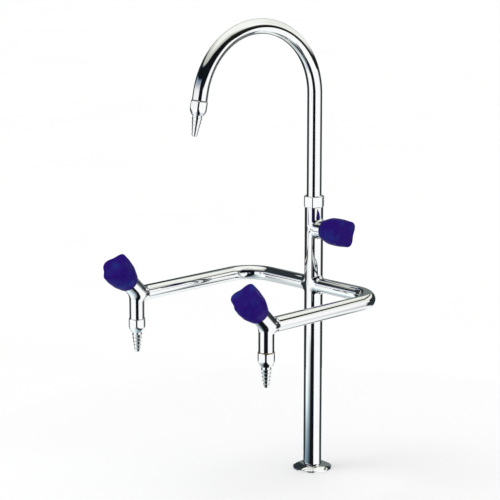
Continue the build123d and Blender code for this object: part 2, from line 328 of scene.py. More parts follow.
class Branch:
    """A round bar of a forging: it starts at its root, or runs both ways, and has one radius."""

    def __init__(self, root, axis, radius, both_ways=False):
        self.root = np.array(root, float)
        self.axis = unit(np.array(axis, float))
        self.radius = radius
        self.both_ways = both_ways

    def distance(self, points):
        """Distance of points from the bar's surface, and the direction in which it grows."""
        along = (points - self.root) @ self.axis
        if not self.both_ways:
            along = np.maximum(along, 0.0)
        away = points - self.root - along[..., None] * self.axis
        reach = np.linalg.norm(away, axis=-1)
        return reach - self.radius, away / np.maximum(reach, TINY)[..., None]


def forged(own, side, rows, neighbours, columns):
    """Skin of one bar of a forging, melted into its neighbours. rows holds (height, radius, lean, solved):
    each ring point is root + height * axis + radius * direction, where the direction leans back
    from the ring's plane by lean, which rounds the bar's closed end. Where solved, the radius
    grows by (k / 4) * h * h, with h = clip((k - (d_other - d_own)) / k, 0, 1), the polynomial smooth
    minimum of the distances, and the normal is (1 - h / 2) * own + (h / 2) * other. Beyond the seam h
    stays 1, so the skin dives under its neighbour's. The rings settle over a few damped rounds."""
    height, radius, lean, solved = (np.array(column, float) for column in zip(*rows))
    exact = solved > 0
    side = unit(np.array(side, float))
    around = ring_directions(side, np.cross(own.axis, side), columns)
    direction = np.cos(lean)[:, None, None] * around - np.sin(lean)[:, None, None] * own.axis
    base = own.root + height[:, None, None] * own.axis
    reach = np.repeat(radius[:, None], columns, axis=1)
    start = reach.copy()
    share = np.zeros_like(reach)
    other = np.zeros_like(direction)
    rounds, damping = 16, 0.6
    for _ in range(rounds):
        points = base + reach[..., None] * direction
        growth = np.zeros_like(reach)
        share = np.zeros_like(reach)
        for neighbour, softness in neighbours:
            gap, away = neighbour.distance(points)
            h = np.clip((softness - (gap - (reach - own.radius))) / softness, 0.0, 1.0)
            more = softness / 4 * h * h
            better = more > growth
            growth = np.where(better, more, growth)
            share = np.where(better, h, share)
            other = np.where(better[..., None], away, other)
        target = np.where(exact[:, None], start + growth, start)
        reach = reach + damping * (target - reach)
    points = base + reach[..., None] * direction
    normals = unit((1 - share / 2)[..., None] * direction + (share / 2)[..., None] * other)
    return points, normals, exact


def forge(name, node, bar, side, rows, neighbours, columns):
    """One bar of a forging as a chromed piece that stands for its node."""
    points, normals, exact = forged(bar, side, rows, neighbours, columns)
    chromed(name, points, node, STAND, normals, exact)


def outer_rows(radius, low, high, rings):
    """Solved rings of a bar between two heights."""
    return [(height, radius, 0.0, 1) for height in np.linspace(low, high, rings)]


def rounded_root(radius, rings):
    """Solved rings that close a bar's root with a half ball, from its pole to its full ring."""
    return [(0.0, radius, lean, 1) for lean in np.linspace(pi / 2, 0.0, rings, endpoint=False)]


def bored(end, radius, floor):
    """Rings of a blind bore, from a bar's end down to the bore's floor."""
    return [(end, radius, 0.0, 0), (floor, radius, 0.0, 0), (floor, 0.0, 0.0, 0)]


def hexagon(angle, flat, turned_by, sharpness):
    """Radius of a hexagon with rounded corners: flat / (sum of max(cos(a - a_i), 0) ** p) ** (1 / p), where
    p is the sharpness."""
    faces = turned_by + np.arange(6) * pi / 3
    terms = np.maximum(np.cos(angle[:, None] - faces), 0.0) ** sharpness
    return flat * terms.sum(axis=1) ** (-1.0 / sharpness)


def soft_least(a, b, k):
    """Smooth minimum of two radii: least(a, b) - h * h * k / 4 with h = max(k - |a - b|, 0) / k."""
    h = np.maximum(k - np.abs(a - b), 0.0) / k
    return np.minimum(a, b) - h * h * k / 4


def drawn_in(height, reach, soft):
    """How far a rounded edge is drawn in: soft * (1 - sqrt(1 - (1 - h) ** 2)) with h = height / reach, up
    to 1."""
    return soft * (1 - np.sqrt(1 - (1 - np.minimum(height / reach, 1.0)) ** 2))


def valve_frames():
    """For each valve: the stub's end, the direction out to the knob, and its two side directions."""
    pipes, valves = bpy.context.scene.tap_pipework, bpy.context.scene.tap_valves
    out = np.array([0.0, -cos(valves.stub_tilt), sin(valves.stub_tilt)])
    frames = {}
    for side, hand in HANDS:
        root = np.array([hand * pipes.arm_end, -pipes.arm_reach, pipes.arm_height + valves.stub_lift])
        frames[side] = (root + valves.side_stub_reach * out, out, RIGHT, np.cross(out, RIGHT))
    end = np.array([valves.middle_stub_reach, 0.0, valves.middle_height])
    frames["middle"] = (end, RIGHT, BACK, np.cross(RIGHT, BACK))
    return frames


def spout_path():
    """Centre line of the swan neck, its inward directions, its plane's normal and the outlet's direction."""
    pipes = bpy.context.scene.tap_pipework
    ahead = np.array([-sin(pipes.spout_turn), -cos(pipes.spout_turn), 0.0])
    start = pipes.spout_foot * UP
    rise = pipes.spout_bend_height - pipes.spout_foot
    centre, normal, along = straight_and_arc(
        start, UP, ahead, rise, pipes.spout_bend, pipes.spout_arc, pipes.spout_tail, steps=144
    )
    return centre, normal, np.cross(UP, ahead), along


def cleared(owner):
    """The empty node tree of a material or a world."""
    owner.use_nodes = True
    owner.node_tree.nodes.clear()
    return owner.node_tree


def add_node(tree, kind, inputs=None, **settings):
    """Adds a node with its settings and fills its inputs: a socket is linked and a value is set."""
    node = tree.nodes.new(f"ShaderNode{kind}")
    for name, value in settings.items():
        setattr(node, name, value)
    for name, value in (inputs or {}).items():
        if isinstance(value, bpy.types.NodeSocket):
            tree.links.new(value, node.inputs[name])
        else:
            node.inputs[name].default_value = value
    return node


def new_material(name):
    """A node material with a Principled shader: the material, its nodes and the shader."""
    material = bpy.data.materials.new(name)
    tree = cleared(material)
    shader = add_node(tree, "BsdfPrincipled")
    add_node(tree, "OutputMaterial", {"Surface": shader.outputs["BSDF"]})
    return material, tree, shader


def noise(tree, scale, detail, stretch=(1.0, 1.0, 1.0)):
    """Noise on Object coordinates, stretched by a Mapping node."""
    place = add_node(tree, "TexCoord").outputs["Object"]
    mapped = add_node(tree, "Mapping", {"Vector": place, "Scale": stretch}).outputs["Vector"]
    return add_node(tree, "TexNoise", {"Vector": mapped, "Scale": scale, "Detail": detail}).outputs["Fac"]


def spread(tree, source, low, high, from_low=0.3, from_high=0.7):
    """Maps the middle of a noise to a range of values."""
    ends = {"From Min": from_low, "From Max": from_high, "To Min": low, "To Max": high}
    return add_node(tree, "MapRange", {"Value": source, **ends}).outputs["Result"]


def shaded(colour, share):
    """A lighter or darker shade of a colour."""
    return tuple(share * channel for channel in colour)


def clouded(tree, shader, texture, first, second, limits=()):
    """Colours a shader with two colours in clouds of noise, which has a scale, a detail and maybe a stretch.
    The limits are the values of the noise at which each colour is pure."""
    colours = {"A": (*first, 1.0), "B": (*second, 1.0)}
    cloud = spread(tree, noise(tree, *texture), 0.0, 1.0, *limits)
    mix = add_node(tree, "Mix", {"Factor": cloud, **colours}, data_type="RGBA")
    tree.links.new(mix.outputs["Result"], shader.inputs["Base Color"])


def grained(tree, shader, texture, low, high):
    """Gives a shader a roughness that wanders between two values."""
    tree.links.new(spread(tree, noise(tree, *texture), low, high), shader.inputs["Roughness"])


def bumped(tree, shader, texture, distance, strength):
    """Gives a shader a fine bump."""
    inputs = {"Height": noise(tree, *texture), "Distance": distance, "Strength": strength}
    tree.links.new(add_node(tree, "Bump", inputs).outputs["Normal"], shader.inputs["Normal"])


def polished_chrome(tree, shader, colours):
    """A mirror with faint polishing marks."""
    shader.inputs["Metallic"].default_value = 1.0
    clouded(tree, shader, (90.0, 3.0), colours.chrome, shaded(colours.chrome, 0.975))
    grained(tree, shader, (140.0, 4.0), low=0.015, high=0.05)
    bumped(tree, shader, (60.0, 1.0), distance=0.00006, strength=0.12)


def knob_plastic(tree, shader, colours):
    """Dark plastic with a soft gloss and a painted bluish sheen in random clouds."""
    shader.inputs["Specular IOR Level"].default_value = 0.05
    # Painted sheen: the bluish second colour, laid in clouds of noise, stands in for highlights on the knob.
    clouded(tree, shader, (55.0, 2.0), colours.knob, colours.knob_painted_sheen, limits=(0.52, 0.75))
    grained(tree, shader, (220.0, 5.0), low=0.28, high=0.42)
    bumped(tree, shader, (900.0, 3.0), distance=0.00005, strength=0.25)


def turned_brass(tree, shader, colours):
    """Bare brass with the fine rings of a lathe."""
    shader.inputs["Metallic"].default_value = 1.0
    clouded(tree, shader, (160.0, 4.0), colours.brass, shaded(colours.brass, 0.7))
    grained(tree, shader, (700.0, 2.0, (1.0, 1.0, 6.0)), low=0.2, high=0.38)
    bumped(tree, shader, (900.0, 1.0, (0.2, 0.2, 4.0)), distance=0.00003, strength=0.3)


def joint_ring(tree, shader, colours):
    """A golden brown ring that is darker in places."""
    shader.inputs["Metallic"].default_value = 0.6
    clouded(tree, shader, (260.0, 3.0), colours.joint, shaded(colours.joint, 0.35))
    grained(tree, shader, (500.0, 2.0), low=0.35, high=0.55)


def seal_rubber(tree, shader, colours):
    """Matt black rubber."""
    clouded(tree, shader, (300.0, 5.0), colours.rubber, shaded(colours.rubber, 2.2))
    grained(tree, shader, (500.0, 3.0), low=0.6, high=0.8)
    bumped(tree, shader, (1500.0, 3.0), distance=0.00005, strength=0.4)


def lapped_ceramic(tree, shader, colours):
    """Smooth pale alumina."""
    clouded(tree, shader, (400.0, 3.0), colours.ceramic, shaded(colours.ceramic, 0.9))
    grained(tree, shader, (800.0, 2.0), low=0.15, high=0.3)


FINISHES = {
    "chrome": ("Polished chrome", polished_chrome),
    "knob": ("Knob plastic", knob_plastic),
    "brass": ("Turned brass", turned_brass),
    "joint": ("Joint ring", joint_ring),
    "rubber": ("Seal rubber", seal_rubber),
    "ceramic": ("Lapped ceramic", lapped_ceramic),
}


def finishes():
    """The tap's finishes by their keys, each made once."""
    for name, make in FINISHES.values():
        if name not in bpy.data.materials:
            make(*new_material(name)[1:], bpy.context.scene.tap_colours)
    return {key: bpy.data.materials[name] for key, (name, _) in FINISHES.items()}


def flange_profile(pipes):
    """Rows of (radius, height): the hole, the seal's groove in the underside, the rounded rim, and the dome,
    an arc at (centre_r + dome * cos a, centre_h + dome * sin a) from the rim to the hole."""
    hole, edge, soft = pipes.flange_hole / 2, pipes.flange_od / 2, 0.0007
    rim, top, dome = pipes.flange_rim, pipes.flange_height, pipes.flange_dome
    groove, groove_edge, deep = pipes.seal_bore / 2, pipes.seal_od / 2, pipes.seal_depth
    run, rise = hole - edge, top - rim
    chord = (run * run + rise * rise) ** 0.5
    back = (dome * dome - chord * chord / 4) ** 0.5
    centre_r = (hole + edge) / 2 - back * rise / chord
    centre_h = (top + rim) / 2 + back * run / chord
    start = rim + soft - centre_h
    first = np.arctan2(start, (dome * dome - start ** 2) ** 0.5)
    last = np.arctan2(top - centre_h, hole - centre_r)
    profile = [(hole, top), (hole, 0.0)]
    profile += [(groove, 0.0), (groove, deep), (groove_edge, deep), (groove_edge, 0.0)]
    profile += [(edge - soft + soft * sin(a), soft - soft * cos(a)) for a in np.linspace(0.0, pi / 2, 6)]
    profile += [(edge, rim)]
    dome_angles = np.linspace(first, last, 28)
    return profile + [(min(centre_r + dome * cos(a), edge), centre_h + dome * sin(a)) for a in dome_angles]


class TAP_OT_flange(bpy.types.Operator):
    """Turns the domed deck flange around the column's foot"""

    bl_idname = "tap.flange"
    bl_label = "Deck flange"

    def execute(self, context):
        profile = flange_profile(context.scene.tap_pipework)
        chromed("deck_flange", turned((0, 0, 0), UP, RIGHT, profile, columns=128), "base_flange")
        return {"FINISHED"}


class TAP_OT_column_and_arms(bpy.types.Operator):
    """Draws the column tube and the two bent arm tubes"""

    bl_idname = "tap.column_and_arms"
    bl_label = "Column and arms"

    def execute(self, context):
        pipes, valves = context.scene.tap_pipework, context.scene.tap_valves
        outer, bore = pipes.column_od / 2, pipes.column_bore / 2
        heights = np.linspace(pipes.column_base, pipes.arm_height - pipes.cross_height / 2, 9)
        profile = [(outer, h) for h in heights] + [(bore, h) for h in heights[::-1]]
        chromed("column", turned((0, 0, 0), UP, RIGHT, profile, columns=128), "column_tube")
        first = pipes.arm_end - pipes.cross_width / 2 - pipes.arm_bend
        last = pipes.arm_reach - valves.inlet_length - pipes.arm_bend
        for side, hand in HANDS:
            start = np.array([hand * pipes.cross_width / 2, 0.0, pipes.arm_height])
            centre, normal, _ = straight_and_arc(
                start, hand * RIGHT, -BACK, first, pipes.arm_bend, pi / 2, last, steps=64
            )
            rows = tube_along(centre, normal, UP, pipes.tube_od / 2, pipes.tube_bore / 2, columns=112)
            chromed(f"{side}_arm", rows, f"{side}_arm_tube")
        return {"FINISHED"}


class TAP_OT_cross(bpy.types.Operator):
    """Melts the column and the two arms into one hollow cross"""

    bl_idname = "tap.cross"
    bl_label = "Arm cross"

    def execute(self, context):
        pipes = context.scene.tap_pipework
        middle, half = pipes.arm_height * UP, pipes.cross_height / 2
        column = Branch(middle, UP, pipes.column_od / 2, both_ways=True)
        through = Branch(middle, RIGHT, pipes.tube_od / 2, both_ways=True)
        bore = pipes.column_bore / 2
        rows = outer_rows(column.radius, -half, half, rings=81)
        rows += [(half, bore, 0.0, 0), (-half, bore, 0.0, 0)]
        softness, start, end = pipes.cross_fillet, 0.004, pipes.cross_width / 2
        forge("cross_column", "arm_cross", column, RIGHT, rows, [(through, softness)], columns=160)
        for side, hand in HANDS:
            arm = Branch(middle, hand * RIGHT, pipes.tube_od / 2)
            rows = [(0.0, 0.0, 0.0, 0)] + outer_rows(arm.radius, start, end, rings=73)
            rows += bored(end, pipes.tube_bore / 2, start)
            forge(f"cross_{side}_arm", "arm_cross", arm, UP, rows, [(column, softness)], columns=144)
        return {"FINISHED"}


class TAP_OT_side_valves(bpy.types.Operator):
    """Melts inlet, outlet and tilted stub into the two side valve bodies"""

    bl_idname = "tap.side_valves"
    bl_label = "Side valve bodies"

    def execute(self, context):
        pipes, valves = context.scene.tap_pipework, context.scene.tap_valves
        radius, bore, room = pipes.tube_od / 2, pipes.tube_bore / 2, valves.chamber_bore / 2
        inlet_depth, outlet_depth = 0.006, 0.010
        elbow, corner = valves.elbow, valves.corner
        stub_length = valves.side_stub_reach + valves.stub_tail
        for side, hand in HANDS:
            joint = np.array([hand * pipes.arm_end, -pipes.arm_reach, pipes.arm_height])
            out = valve_frames()[side][1]
            inlet, outlet = Branch(joint, BACK, radius), Branch(joint, -UP, radius)
            stub = Branch(joint + valves.stub_lift * UP - valves.stub_tail * out, out, valves.stub_od / 2)
            bars = (
                ("inlet", inlet, valves.inlet_length, bore, inlet_depth, (16, 49, 144),
                 [(outlet, elbow), (stub, corner)]),
                ("outlet", outlet, valves.outlet_length, bore, outlet_depth, (16, 65, 144),
                 [(inlet, elbow), (stub, corner)]),
                ("stub", stub, stub_length, room, valves.chamber_depth, (24, 57, 160),
                 [(inlet, corner), (outlet, corner)]),
            )
            for name, bar, end, hole, depth, (root_rings, rings, columns), neighbours in bars:
                rows = rounded_root(bar.radius, root_rings) + outer_rows(bar.radius, 0.0, end, rings)
                rows += bored(end, hole, end - depth)
                forge(f"{side}_valve_{name}", f"{side}_valve_body", bar, RIGHT, rows, neighbours, columns)
        return {"FINISHED"}


class TAP_OT_middle_valve(bpy.types.Operator):
    """Melts the upper column and its stub into the middle valve body"""

    bl_idname = "tap.middle_valve"
    bl_label = "Middle valve body"

    def execute(self, context):
        pipes, valves = context.scene.tap_pipework, context.scene.tap_valves
        middle, node = valves.middle_height, "middle_valve_body"
        column = Branch(middle * UP, UP, pipes.column_od / 2, both_ways=True)
        stub = Branch((valves.middle_root, 0, middle), RIGHT, valves.stub_od / 2)
        low = pipes.arm_height + pipes.cross_height / 2 - middle
        high = valves.nut_bottom - middle
        top = high + valves.thread_length
        bore, thread, lid = pipes.column_bore / 2, valves.thread_od / 2, -valves.stub_od / 2
        rows = [(lid, 0.0, 0.0, 0), (lid, bore, 0.0, 0), (low, bore, 0.0, 0)]
        rows += outer_rows(column.radius, low, high, rings=145)
        rows += [(high, thread, 0.0, 0), (top, thread, 0.0, 0)]
        rows += bored(top, valves.swivel_bore / 2, top - valves.swivel_depth)
        forge("upper_column", node, column, RIGHT, rows, [(stub, valves.corner)], columns=160)
        end, buried = valves.middle_stub_reach - valves.middle_root, 0.002
        rows = [(-buried, 0.0, 0.0, 0)] + outer_rows(stub.radius, 0.0, end, rings=57)
        rows += bored(end, valves.chamber_bore / 2, end - valves.chamber_depth)
        forge("middle_valve_stub", node, stub, UP, rows, [(column, valves.corner)], columns=160)
        return {"FINISHED"}


def nut_profile(pipes, valves, columns):
    """Rows of (radius, height). Outside, the radius is the soft least of the hexagon and of a cone from each
    end, flat + play + slope * distance from the end, drawn in at both edges. Inside come the spout's
    hole in the lid and the thread."""
    soft, play, blend = 0.0007, 0.0001, 0.0004
    spout_gap, thread_gap = 0.0003, 0.00005
    flat = valves.nut_across_flats / 2
    flats = hexagon(ring_angles(columns), flat, valves.nut_turn + pi / 6, NUT_SHARPNESS)
    tall, cut = valves.nut_height, valves.nut_chamfer
    slope = (flat / cos(pi / 6) - flat) / cut
    edge = soft * np.array([0.0, 0.03, 0.12, 0.27, 0.5, 1.0])
    lower = np.concatenate([edge, np.linspace(0.001, 1.6 * cut, 9)])
    profile = []
    for h in np.concatenate([lower, tall - lower[::-1]]):
        near_end = min(h, tall - h)
        chamfer = flat + play + slope * near_end
        profile.append((soft_least(flats, chamfer, blend) - drawn_in(near_end, soft, soft), h))
    inner, thread = pipes.tube_od / 2 + spout_gap, valves.thread_od / 2 + thread_gap
    lid = tall - valves.nut_lid
    return profile + [(inner, tall), (inner, lid), (thread, lid), (thread, 0.0)]


class TAP_OT_union_nut(bpy.types.Operator):
    """Cuts the chamfered hexagon nut that holds the spout down"""

    bl_idname = "tap.union_nut"
    bl_label = "Union nut"

    def execute(self, context):
        pipes, valves, columns = context.scene.tap_pipework, context.scene.tap_valves, 240
        profile = nut_profile(pipes, valves, columns)
        chromed("hexagon_nut", turned(valves.nut_bottom * UP, UP, RIGHT, profile, columns), "union_nut")
        return {"FINISHED"}


class TAP_OT_spout(bpy.types.Operator):
    """Draws the swan neck along its riser, bow and tail"""

    bl_idname = "tap.spout"
    bl_label = "Swan neck"

    def execute(self, context):
        pipes = context.scene.tap_pipework
        centre, normal, across, _ = spout_path()
        rows = tube_along(centre, normal, across, pipes.tube_od / 2, pipes.tube_bore / 2, columns=128)
        chromed("swan_neck", rows, "spout_tube", SPOUT)
        return {"FINISHED"}


def barb_rows(sizes):
    """Rows of the barbs: barb i rises steeply to its crest, barb_od / 2 - i * taper, and falls in a straight
    line to its foot, a step below the next crest."""
    edge, crest_at, gap = 0.00015, 0.0002, 0.0003
    first = sizes.cone_end + sizes.neck_length
    pitch = (sizes.reach - first) / BARBS
    taper = (sizes.barb_od - sizes.barb_end_od) / (2 * (BARBS - 1))
    rows = []
    for barb in range(BARBS):
        crest = sizes.barb_od / 2 - barb * taper
        foot = crest - taper - sizes.barb_step
        base = first + barb * pitch
        rows += [(crest - edge, base), (crest, base + crest_at)]
        run = pitch - crest_at - gap
        rows += [(crest + (foot - crest) * t, base + crest_at + run * t) for t in (0.5, 1.0)]
    return rows


def nozzle_profile(sizes, columns):
    """Rows of (radius, height) from the joint down: a hexagon that runs out in a cone, a neck, the barbs and
    the blind bore. The hexagon is the soft least of its flats, its upper chamfer and the cone."""
    flat = sizes.across_flats / 2
    corner = flat / cos(pi / 6)
    flats = hexagon(ring_angles(columns), flat, sizes.nozzle_turn + pi / 6, NOZZLE_SHARPNESS)
    cone_slope = (corner - sizes.cone_od / 2) / (sizes.cone_end - sizes.hexagon)
    edge, bevel, fine, depth = 0.0004, 0.0003, 0.0002, 0.022
    climb, upper_blend, lower_blend = 1.1, 0.0009, 0.0014
    profile = [(0.0, 0.0)]
    for h in np.concatenate([np.linspace(0.0, 0.002, 9), np.linspace(0.003, sizes.cone_end - edge, 44)]):
        upper = flat + fine + climb * h
        lower = corner - cone_slope * (h - sizes.hexagon)
        chamfered = soft_least(flats, upper, upper_blend)
        profile.append((soft_least(chamfered, lower, lower_blend), h))
    neck, neck_end = sizes.neck_od / 2, sizes.cone_end + sizes.neck_length
    profile += [(sizes.cone_od / 2 - edge, sizes.cone_end), (neck, sizes.cone_end)]
    profile += [(neck, sizes.cone_end + fine), (neck, neck_end - bevel)]
    profile += barb_rows(sizes)
    foot, end, bore = profile[-1][0], sizes.reach, sizes.bore / 2
    profile += [(foot, end - bevel), (foot - bevel, end), (bore + fine, end), (bore, end - bevel)]
    return profile + [(bore, end - depth), (0.0, end - depth)]


class TAP_OT_nozzles(bpy.types.Operator):
    """Cuts the three hose nozzles: a hexagon that runs out in a cone, a neck and five barbs"""

    bl_idname = "tap.nozzles"
    bl_label = "Hose nozzles"

    def execute(self, context):
        scene = context.scene
        pipes, valves, sizes = scene.tap_pipework, scene.tap_valves, scene.tap_nozzles
        columns = 180
        profile = nozzle_profile(sizes, columns)
        soft, wide, tall = 0.0001, pipes.tube_od / 2 + 0.00025, sizes.joint_ring
        inner = pipes.tube_bore / 2 + 0.0002
        ring = [(inner, -tall), (wide - soft, -tall), (wide, -tall / 2), (wide - soft, 0.0), (inner, 0.0)]
        joint = np.array([pipes.arm_end, -pipes.arm_reach, pipes.arm_height - valves.outlet_length])
        centre, _, _, along = spout_path()
        places = {
            "left": (joint * (-1, 1, 1), -UP, STAND),
            "right": (joint, -UP, STAND),
            "spout": (centre[-1], along, SPOUT),
        }
        for side, (place, axis, body) in places.items():
            across = unit(RIGHT - axis * axis[0])
            rows = turned(place, axis, across, profile, columns)
            chromed(f"{side}_hose_nozzle", rows, f"{side}_nozzle", body)
            finish, slot_name = RING_FINISHES[side]
            rows = turned(place, axis, across, ring, columns=96)
            skin(f"{side}_joint_ring", rows, finishes()[finish], body, [])
        return {"FINISHED"}


def smooth_line(t, at, values):
    """A line through the given points, softened by two passes of a short average."""
    width = 13
    half = width // 2
    fine = np.linspace(0.0, 1.0, 201)
    line = np.interp(fine, at, values)
    for _ in range(2):
        before, after = 2 * line[0] - line[half:0:-1], 2 * line[-1] - line[-2:-half - 2:-1]
        line = np.convolve(np.concatenate([before, line, after]), np.full(width, 1 / width), mode="valid")
    return np.interp(t, fine, line)


def knob_profile(valves, turned_by, columns):
    """Rows of (radius, height): radius = swell * (1 - groove * valley), where the swell and the groove grow
    along the knob and valley = (0.5 - 0.5 * cos(lobes * (angle - turned_by))) ** power. The foot is
    rounded, a quarter circle makes the crown, and shrinking rings close the end."""
    tall, crown, foot = valves.knob_length, valves.knob_crown, 0.0012
    base, wide = valves.knob_base_od / 2, valves.knob_od / 2
    risers, crown_steps, foot_rows = 44, 10, 4
    waists = (
        (0.0, base, 0.05),
        (0.4, 0.895 * wide, 0.06),
        (0.74, 0.98 * wide, 0.12),
        (1.0, 0.979 * wide, 0.22),
    )
    at, size, depth = (np.array(column) for column in zip(*waists))
    brow = 1.0 - crown / tall
    share = np.concatenate([np.linspace(0.0, brow, risers), np.full(crown_steps, brow)])
    arc = np.concatenate([np.zeros(risers), np.linspace(0.0, pi / 2, crown_steps + 1)[1:]])
    swell = smooth_line(share + (1 - np.cos(arc)) * crown / tall, at, size)[:, None]
    groove = smooth_line(share + np.sin(arc) * crown / tall, at, depth)[:, None]
    height = share * tall + np.sin(arc) * crown
    valley = (0.5 - 0.5 * np.cos(KNOB_LOBES * (ring_angles(columns) - turned_by))) ** VALLEY_POWER
    radius = swell * (1 - groove * valley) - (crown * (1 - np.cos(arc)))[:, None]
    radius[:foot_rows] -= drawn_in(height[:foot_rows], 3 * foot, foot)[:, None]
    profile = [(0.0, 0.0), (radius[0] * 0.5, 0.0)] + list(zip(radius, height))
    return profile + [(radius[-1] * t, tall) for t in (0.86, 0.6, 0.3, 0.0)]


class TAP_OT_knobs(bpy.types.Operator):
    """Moulds the three lobed knobs"""

    bl_idname = "tap.knobs"
    bl_label = "Lobed knobs"

    def execute(self, context):
        valves, columns = context.scene.tap_valves, 192
        for side, (place, out, _, across) in valve_frames().items():
            profile = knob_profile(valves, KNOB_TURNS[side], columns)
            rows = turned(place + valves.knob_gap * out, out, across, profile, columns)
            body = f"{side}_knob_and_spindle"
            skin(f"{side}_lobed_knob", rows, finishes()["knob"], body, [f"{side}_knob"])
        return {"FINISHED"}


class TAP_OT_inner_pieces(bpy.types.Operator):
    """Gives each piece of the frame the finish of its slot"""

    bl_idname = "tap.inner_pieces"
    bl_label = "Inner pieces"

    def execute(self, context):
        made = finishes()
        for subpart in frame["record"]["subparts"]:
            node = frame["nodes"][subpart["node"]]
            node.data.materials.clear()
            node.data.materials.append(made[SLOT_FINISHES[subpart["material_slot"]]])
        return {"FINISHED"}


class TAP_OT_studio(bpy.types.Operator):
    """Sets the floor, the surround that the chrome mirrors, the lamp, the world and the camera"""

    bl_idname = "tap.studio"
    bl_label = "Studio"

    def execute(self, context):
        context.scene.view_settings.view_transform = "Standard"
        lay_floor(context.scene.tap_colours.floor)
        raise_surround()
        hang_lamp()
        light_world()
        place_camera(context.scene)
        return {"FINISHED"}


def stage_mesh(name, points, faces, material):
    """Makes a piece of the stage."""
    mesh = bpy.data.meshes.new(name)
    mesh.from_pydata(points, [], faces)
    mesh.materials.append(material)
    piece = bpy.data.objects.new(name, mesh)
    bpy.context.scene.collection.objects.link(piece)
    return piece


def lay_floor(colour):
    """A wide pale floor, which the chrome doesn't mirror because the surround has its own ground."""
    material, tree, shader = new_material("Studio floor")
    clouded(tree, shader, (3.0, 2.0), colour, shaded(colour, 0.985))
    shader.inputs["Roughness"].default_value = 0.8
    shader.inputs["Specular IOR Level"].default_value = 0.2
    wide = 30.0
    points = [(-wide, -wide, 0.0), (wide, -wide, 0.0), (wide, wide, 0.0), (-wide, wide, 0.0)]
    floor = stage_mesh("studio_floor", points, [(0, 1, 2, 3)], material)
    floor.visible_glossy = False


def between(x, low, high):
    """Smooth step from 0 at low to 1 at high: t * t * (3 - 2 * t), where t is (x - low) / (high - low) held
    between 0 and 1."""
    t = np.clip((x - low) / (high - low), 0.0, 1.0)
    return t * t * (3 - 2 * t)


def inside(x, low, high, soft):
    """1 between low and high, falling to 0 over soft on both sides."""
    return between(x, low - soft, low + soft) * (1 - between(x, high - soft, high + soft))


def studio_tones(turn, rise):
    """Colours of the far studio by direction: turn is the angle round from the camera's side, positive to
    its right, and rise the height above the horizon, both in degrees. The walls are white under a nearly
    white ceiling, and cream at the sides. A dark band sweeps up over the camera, with a warm fade above
    it and a bluish one below it on the left. The corners behind are dark with a light gap between
    them, and the ground is pale. Layers lie over each other as tone = tone + share * (colour - tone)."""
    tone = np.full(turn.shape + (3,), 1.04)

    def lay(share, colour):
        tone[...] += share[..., None] * (np.array(colour) - tone)

    right_behind, left_behind = between(turn, 87.0, 103.0), between(-turn, 87.0, 103.0)
    behind = right_behind + left_behind
    band_at = (-120.0, -90.0, -60.0, -30.0, 0.0, 30.0, 47.0, 60.0, 68.0, 78.0)
    low = np.interp(turn, band_at, (18.0, 24.0, 26.0, 26.0, 14.0, 6.0, 6.0, 6.0, 4.0, 0.0))
    high = np.interp(turn, band_at, (38.0, 38.0, 43.0, 46.0, 51.0, 51.0, 47.0, 34.0, 25.0, 18.0))
    band = inside(turn, -132.0, 70.0, 8.0)
    warm = band * (rise > high) * (1 - between(rise, high, high + 32.0))
    bluish = band * (turn < 10) * between(rise, low - 16.0, low) * (rise < high)
    dark = band * between(rise, low - 1.5, low + 1.5) * (1 - between(rise, high - 3.0, high + 2.0))
    gap = between(turn, 148.0, 156.0) + between(-turn, 166.0, 174.0)
    lay(between(rise, 38.0, 60.0), (0.98, 0.99, 0.94))
    lay(between(np.abs(turn), 78.0, 98.0) * inside(rise, 16.0, 50.0, 8.0), (0.88, 0.89, 0.82))
    lay(warm, (0.50, 0.51, 0.44))
    lay(bluish, (0.20, 0.27, 0.36))
    lay(dark, (0.006, 0.007, 0.010))
    lay(left_behind * inside(rise, -60.0, -26.0, 6.0), (0.60, 0.65, 0.66))
    lay(right_behind * inside(rise, -60.0, -26.0, 6.0), (0.95, 0.97, 0.97))
    lay(behind * (1 - gap) * inside(rise, -26.0, 6.0, 3.0), (0.035, 0.04, 0.045))
    lay((1 - behind) * inside(turn, -150.0, 42.0, 8.0) * inside(rise, -63.0, -50.0, 3.0), (0.03, 0.04, 0.05))
    lay(1 - between(rise, -70.0, -60.0), (0.50, 0.54, 0.52))
    return tone


def ground_tones(turn, reach):
    """Colours and cover of the table near the tap, by turn and distance from the column: a blue grey that
    fades out on the left, the foot of the dark screen in front, and a dark shade close on the right."""
    left = inside(turn, -100.0, -14.0, 8.0)
    front = inside(turn, -32.0, 10.0, 4.0)
    right = inside(turn, 94.0, 142.0, 10.0)
    steps = (0.06, 0.10, 0.19, 0.34, 0.50)
    fade = (
        (0.20, 0.29, 0.35), (0.24, 0.33, 0.40), (0.36, 0.47, 0.51), (0.78, 0.91, 0.95), (1.0, 1.04, 1.04)
    )
    colour = np.stack([np.interp(reach, steps, channel) for channel in zip(*fade)], axis=-1)
    away = (20.0, 30.0, 43.0, 57.0, 71.0, 88.0)
    close = np.interp(-turn, away, (0.0, 0.05, 0.37, 0.68, 1.0, 1.25))
    far = np.interp(-turn, away, (0.0, 0.18, 0.62, 0.92, 1.0, 1.0))
    wide = between(reach, 0.30, 0.65)
    colour *= (close + wide * (far - close))[..., None]
    colour += right[..., None] * (np.array([0.045, 0.055, 0.06]) - colour)
    colour += front[..., None] * (np.array(NEAR_BLACK) - colour)
    cover = np.maximum(left * (1 - between(reach, 0.60, 0.80)), right * (1 - between(reach, 0.18, 0.30)))
    return np.concatenate([colour, np.maximum(cover, front * (reach < 0.7))[..., None]], axis=-1)


def heading(turn):
    """Level direction at an angle round from the camera's side: cos(turn) ahead + sin(turn) side."""
    return np.cos(turn)[..., None] * AHEAD + np.sin(turn)[..., None] * SIDE


